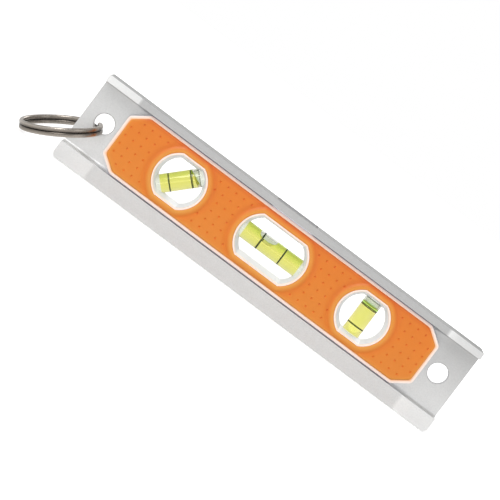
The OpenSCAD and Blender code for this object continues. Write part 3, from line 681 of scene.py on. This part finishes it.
# One vial. Tube, glued plug and liquid bend light almost alike, so the clear solid of tube and plug is hollow only
# where the air is, and the liquid lies in it.
def makeVial(name, spec):
    outer, soft = vial["radius"], vial["edgeRound"]
    end = spec["length"] / 2
    tube = [(-end, 0)] + roundCorner(soft - end, outer - soft, soft, 180, 90)
    tube += roundCorner(end - soft, outer - soft, soft, 90, 0) + [(end, 0)]
    sheets = []
    for points, faces in (turnProfile(tube), bubbleSheet(spec)):
        sheets.append((toVial(points, spec), faces, 0))
    makePiece(name + "VialTube", sheets, acrylic, "level", [name + "_vial_tube", name + "_vial_plug"])
    points, faces, surface = liquidSheet(spec)
    # painted tint: the upper side greener, by how much greener the vial is set
    rise = 0.5 + spec["greener"] * points[..., 2] / (2 * vial["bore"])
    rise = np.where(surface, 1.0, rise)
    makePiece(name + "VialLiquid", [(toVial(points, spec), faces, rise)], liquid, "level",
              [name + "_vial_liquid"], "rise")
    bands = []
    for side in (-1, 1):
        centre, w = side * spec["gap"] / 2, spec["lineWidth"] / 2
        bottom, foot, crest = outer - inkLine["sunk"], outer + inkLine["foot"], outer + inkLine["raised"]
        half = [(-w, bottom), (-w, foot), (inkLine["bevel"] - w, crest)]
        section = half + [(-x, r) for x, r in half[::-1]] + half[:1]
        points, faces = turnProfile([(centre + x, r) for x, r in section])
        bands.append((toVial(points, spec), faces, 0))
    makePiece(name + "VialLines", bands, ink, "level", [name + "_vial_lines"])


for vialName, vialSpec in vials.items():
    makeVial(vialName, vialSpec)
print("vials made")

# split ring: its wire, the angle of the ramp between its turns, how it hangs in the hole and how finely it is made
splitRing = dict(diameter=38, wireWidth=2.1, wireThickness=1.9, ramp=40, pitch=2.15, lean=31.6, twist=7.2, shift=4.5,
                 startAngle=65, place=(-94.69, 0, 22.28), steps=560, sides=28, squareness=0.72, endRound=1.2)


# Wire of two turns: the section is a rounded rectangle, carried round a circle and lifted by one pitch
# over the ramp at the end of the first turn; both ends are drawn in to a rounded tip
def makeSplitRing():
    spec = splitRing
    radius = (spec["diameter"] - spec["wireThickness"]) / 2
    turn = 720 - spec["ramp"]
    a = np.linspace(0, turn, spec["steps"])
    along = np.radians(a) * radius
    fromEnd = np.minimum(along, along[-1] - along)
    # extra rows close to each end, so that the tips are round
    tip = spec["endRound"] * (1 - np.cos(np.linspace(0, np.pi / 2, 7)[:-1]))
    along = np.unique(np.concatenate([tip, along[-1] - tip, along[fromEnd > spec["endRound"]]]))
    fromEnd = np.minimum(along, along[-1] - along)
    a = np.degrees(along / radius)
    scale = np.sqrt(np.clip(1 - (1 - np.clip(fromEnd / spec["endRound"], 0, 1)) ** 2, 0, 1))[:, None]
    t = np.clip((a - (360 - spec["ramp"])) / spec["ramp"], 0, 1)
    lift = spec["pitch"] * (t * t * (3 - 2 * t) - 0.5)
    k = np.linspace(0, 2 * np.pi, spec["sides"], endpoint=False)
    c, s = np.cos(k), np.sin(k)
    across = spec["wireThickness"] / 2 * np.sign(c) * abs(c) ** spec["squareness"] * scale
    axial = spec["wireWidth"] / 2 * np.sign(s) * abs(s) ** spec["squareness"] * scale
    r, angle = radius + across, np.radians(a + spec["startAngle"])[:, None]
    z = lift[:, None] + axial
    back = math.sqrt(radius ** 2 - spec["shift"] ** 2)
    points = np.stack([r * np.cos(angle) - back, r * np.sin(angle) - spec["shift"], z], -1)
    # painted shade: darkest where the two coils meet
    crest = np.clip(abs(z) / spec["pitch"], 0, 1)
    tilt = Matrix.Rotation(math.radians(-spec["lean"]), 3, "Y") @ Matrix.Rotation(math.radians(spec["twist"]), 3, "X")
    points = points @ np.array(tilt).T + spec["place"]
    faces = gridFaces(points.shape[0], points.shape[1], True)
    makePiece("splitRing", [(points, faces, crest)], ringSteel, "ring", ["split_ring"], "crest")


makeSplitRing()
print("split ring made")

# White table and white room, with sizes in metres. The table glows for the camera, more so from tableFade's near
# to its far distance, and keeps the shadow; tableShine is its glow for reflections. The room's reflection goes
# from shineLow at the horizon to shineHigh above.
studio = dict(tableSize=8.0, tableDrop=0.0002, tableColour="#F2F2F2", tableGlow=0.45, tableShine=(0.22, 0.45),
              tableFade=(0.25, 0.8), roomLevel=0.56, shineLow=1.0, shineHigh=0.4)
lamps = dict(
    keySoftbox=dict(location=(-1.0, -1.5, 1.3), size=(1.2, 0.9), power=19),
    fillSoftbox=dict(location=(1.5, -1.2, 0.8), size=(1.0, 1.0), power=2.5),
    rearSoftbox=dict(location=(0.3, 1.4, 1.2), size=(1.2, 0.8), power=6),
)


def makeTable():
    material, tree, surface, coords = startMaterial("whiteTable")
    speckle = grain(tree, coords, (2, 2, 2))
    surface.inputs["Base Color"].default_value = linearColour(studio["tableColour"])
    tree.links.new(blendValue(tree, speckle, (0.3, 0.7), (0.75, 0.8)), surface.inputs["Roughness"])
    surface.inputs["Emission Color"].default_value = (1, 1, 1, 1)
    path = addNode(tree, "ShaderNodeLightPath").outputs
    far = addNode(tree, "ShaderNodeVectorMath", {0: coords}, operation="LENGTH").outputs["Value"]
    level = blendValue(tree, far, studio["tableFade"], (studio["tableGlow"], 1.0))
    glow = combine(tree, "MULTIPLY", path["Is Camera Ray"], level)
    lit = combine(tree, "MAXIMUM", path["Is Glossy Ray"], path["Is Transmission Ray"])
    shine = combine(tree, "MULTIPLY", lit, blendValue(tree, far, studio["tableFade"], studio["tableShine"]))
    tree.links.new(combine(tree, "ADD", glow, shine), surface.inputs["Emission Strength"])
    half, below = studio["tableSize"] / 2, studio["tableDrop"]
    corners = [(-half, -half), (half, -half), (half, half), (-half, half)]
    mesh = bpy.data.meshes.new("whiteTable")
    mesh.from_pydata([(x, y, -below) for x, y in corners], [], [(0, 1, 2, 3)])
    mesh.materials.append(material)
    table = bpy.data.objects.new("whiteTable", mesh)
    bpy.context.scene.collection.objects.link(table)


def makeRoom():
    world = bpy.data.worlds.new("whiteRoom")
    bpy.context.scene.world = world
    world.use_nodes = True
    tree = world.node_tree
    background = tree.nodes["Background"]
    path = addNode(tree, "ShaderNodeLightPath").outputs
    seen = combine(tree, "MAXIMUM", path["Is Camera Ray"], path["Is Transmission Ray"])
    direction = addNode(tree, "ShaderNodeTexCoord").outputs["Generated"]
    height = addNode(tree, "ShaderNodeSeparateXYZ", {0: direction}).outputs["Z"]
    shine = blendValue(tree, height, (-0.1, 0.5), (studio["shineLow"], studio["shineHigh"]))
    plain = combine(tree, "MAXIMUM", combine(tree, "MULTIPLY", path["Is Glossy Ray"], shine), studio["roomLevel"])
    tree.links.new(combine(tree, "MAXIMUM", seen, plain), background.inputs["Strength"])
    background.inputs["Color"].default_value = (1, 1, 1, 1)


# An area light of a size in metres at a place, aimed at the object
def addLamp(name, location, size, power):
    light = bpy.data.lights.new(name, "AREA")
    light.shape = "RECTANGLE"
    light.size, light.size_y = size
    light.energy = power
    lamp = bpy.data.objects.new(name, light)
    lamp.location = location
    lamp.visible_transmission = False  # the vials don't show the lamps as shapes
    away = Vector(location) - Vector((0, 0, place["midZ"] * mm))
    lamp.rotation_euler = away.to_track_quat("Z", "Y").to_euler()
    bpy.context.scene.collection.objects.link(lamp)


makeTable()
makeRoom()
for lampName, lampSpec in lamps.items():
    addLamp(lampName, **lampSpec)
print("studio made")

# viewpoint: place in metres, turn to the right, tilt down and roll in degrees, and focal length for a 36 mm sensor
viewpoint = dict(place=(-0.02804, -1.25871, 0.11637), turn=0.9409, down=4.4465, roll=36.8515, lens=200.57)


# Camera axes: forward from turn and tilt, then the right and up axes rolled about it
def makeCamera():
    turn, down, roll = (math.radians(viewpoint[k]) for k in ("turn", "down", "roll"))
    forward = np.array([math.sin(turn) * math.cos(down), math.cos(turn) * math.cos(down), -math.sin(down)])
    right = np.array([math.cos(turn), -math.sin(turn), 0])
    up = np.cross(right, forward)
    rolledRight = math.cos(roll) * right + math.sin(roll) * up
    rolledUp = math.cos(roll) * up - math.sin(roll) * right
    data = bpy.data.cameras.new("photoCamera")
    data.type = "PERSP"
    data.lens = viewpoint["lens"]
    data.sensor_width = 36
    data.clip_start, data.clip_end = 0.05, 50
    camera = bpy.data.objects.new("photoCamera", data)
    axes = Matrix(np.stack([rolledRight, rolledUp, -forward], 1).tolist()).to_4x4()
    camera.matrix_world = Matrix.Translation(viewpoint["place"]) @ axes
    bpy.context.scene.collection.objects.link(camera)
    bpy.context.scene.camera = camera


makeCamera()
bpy.context.scene.view_settings.view_transform = "Standard"
print("camera made")
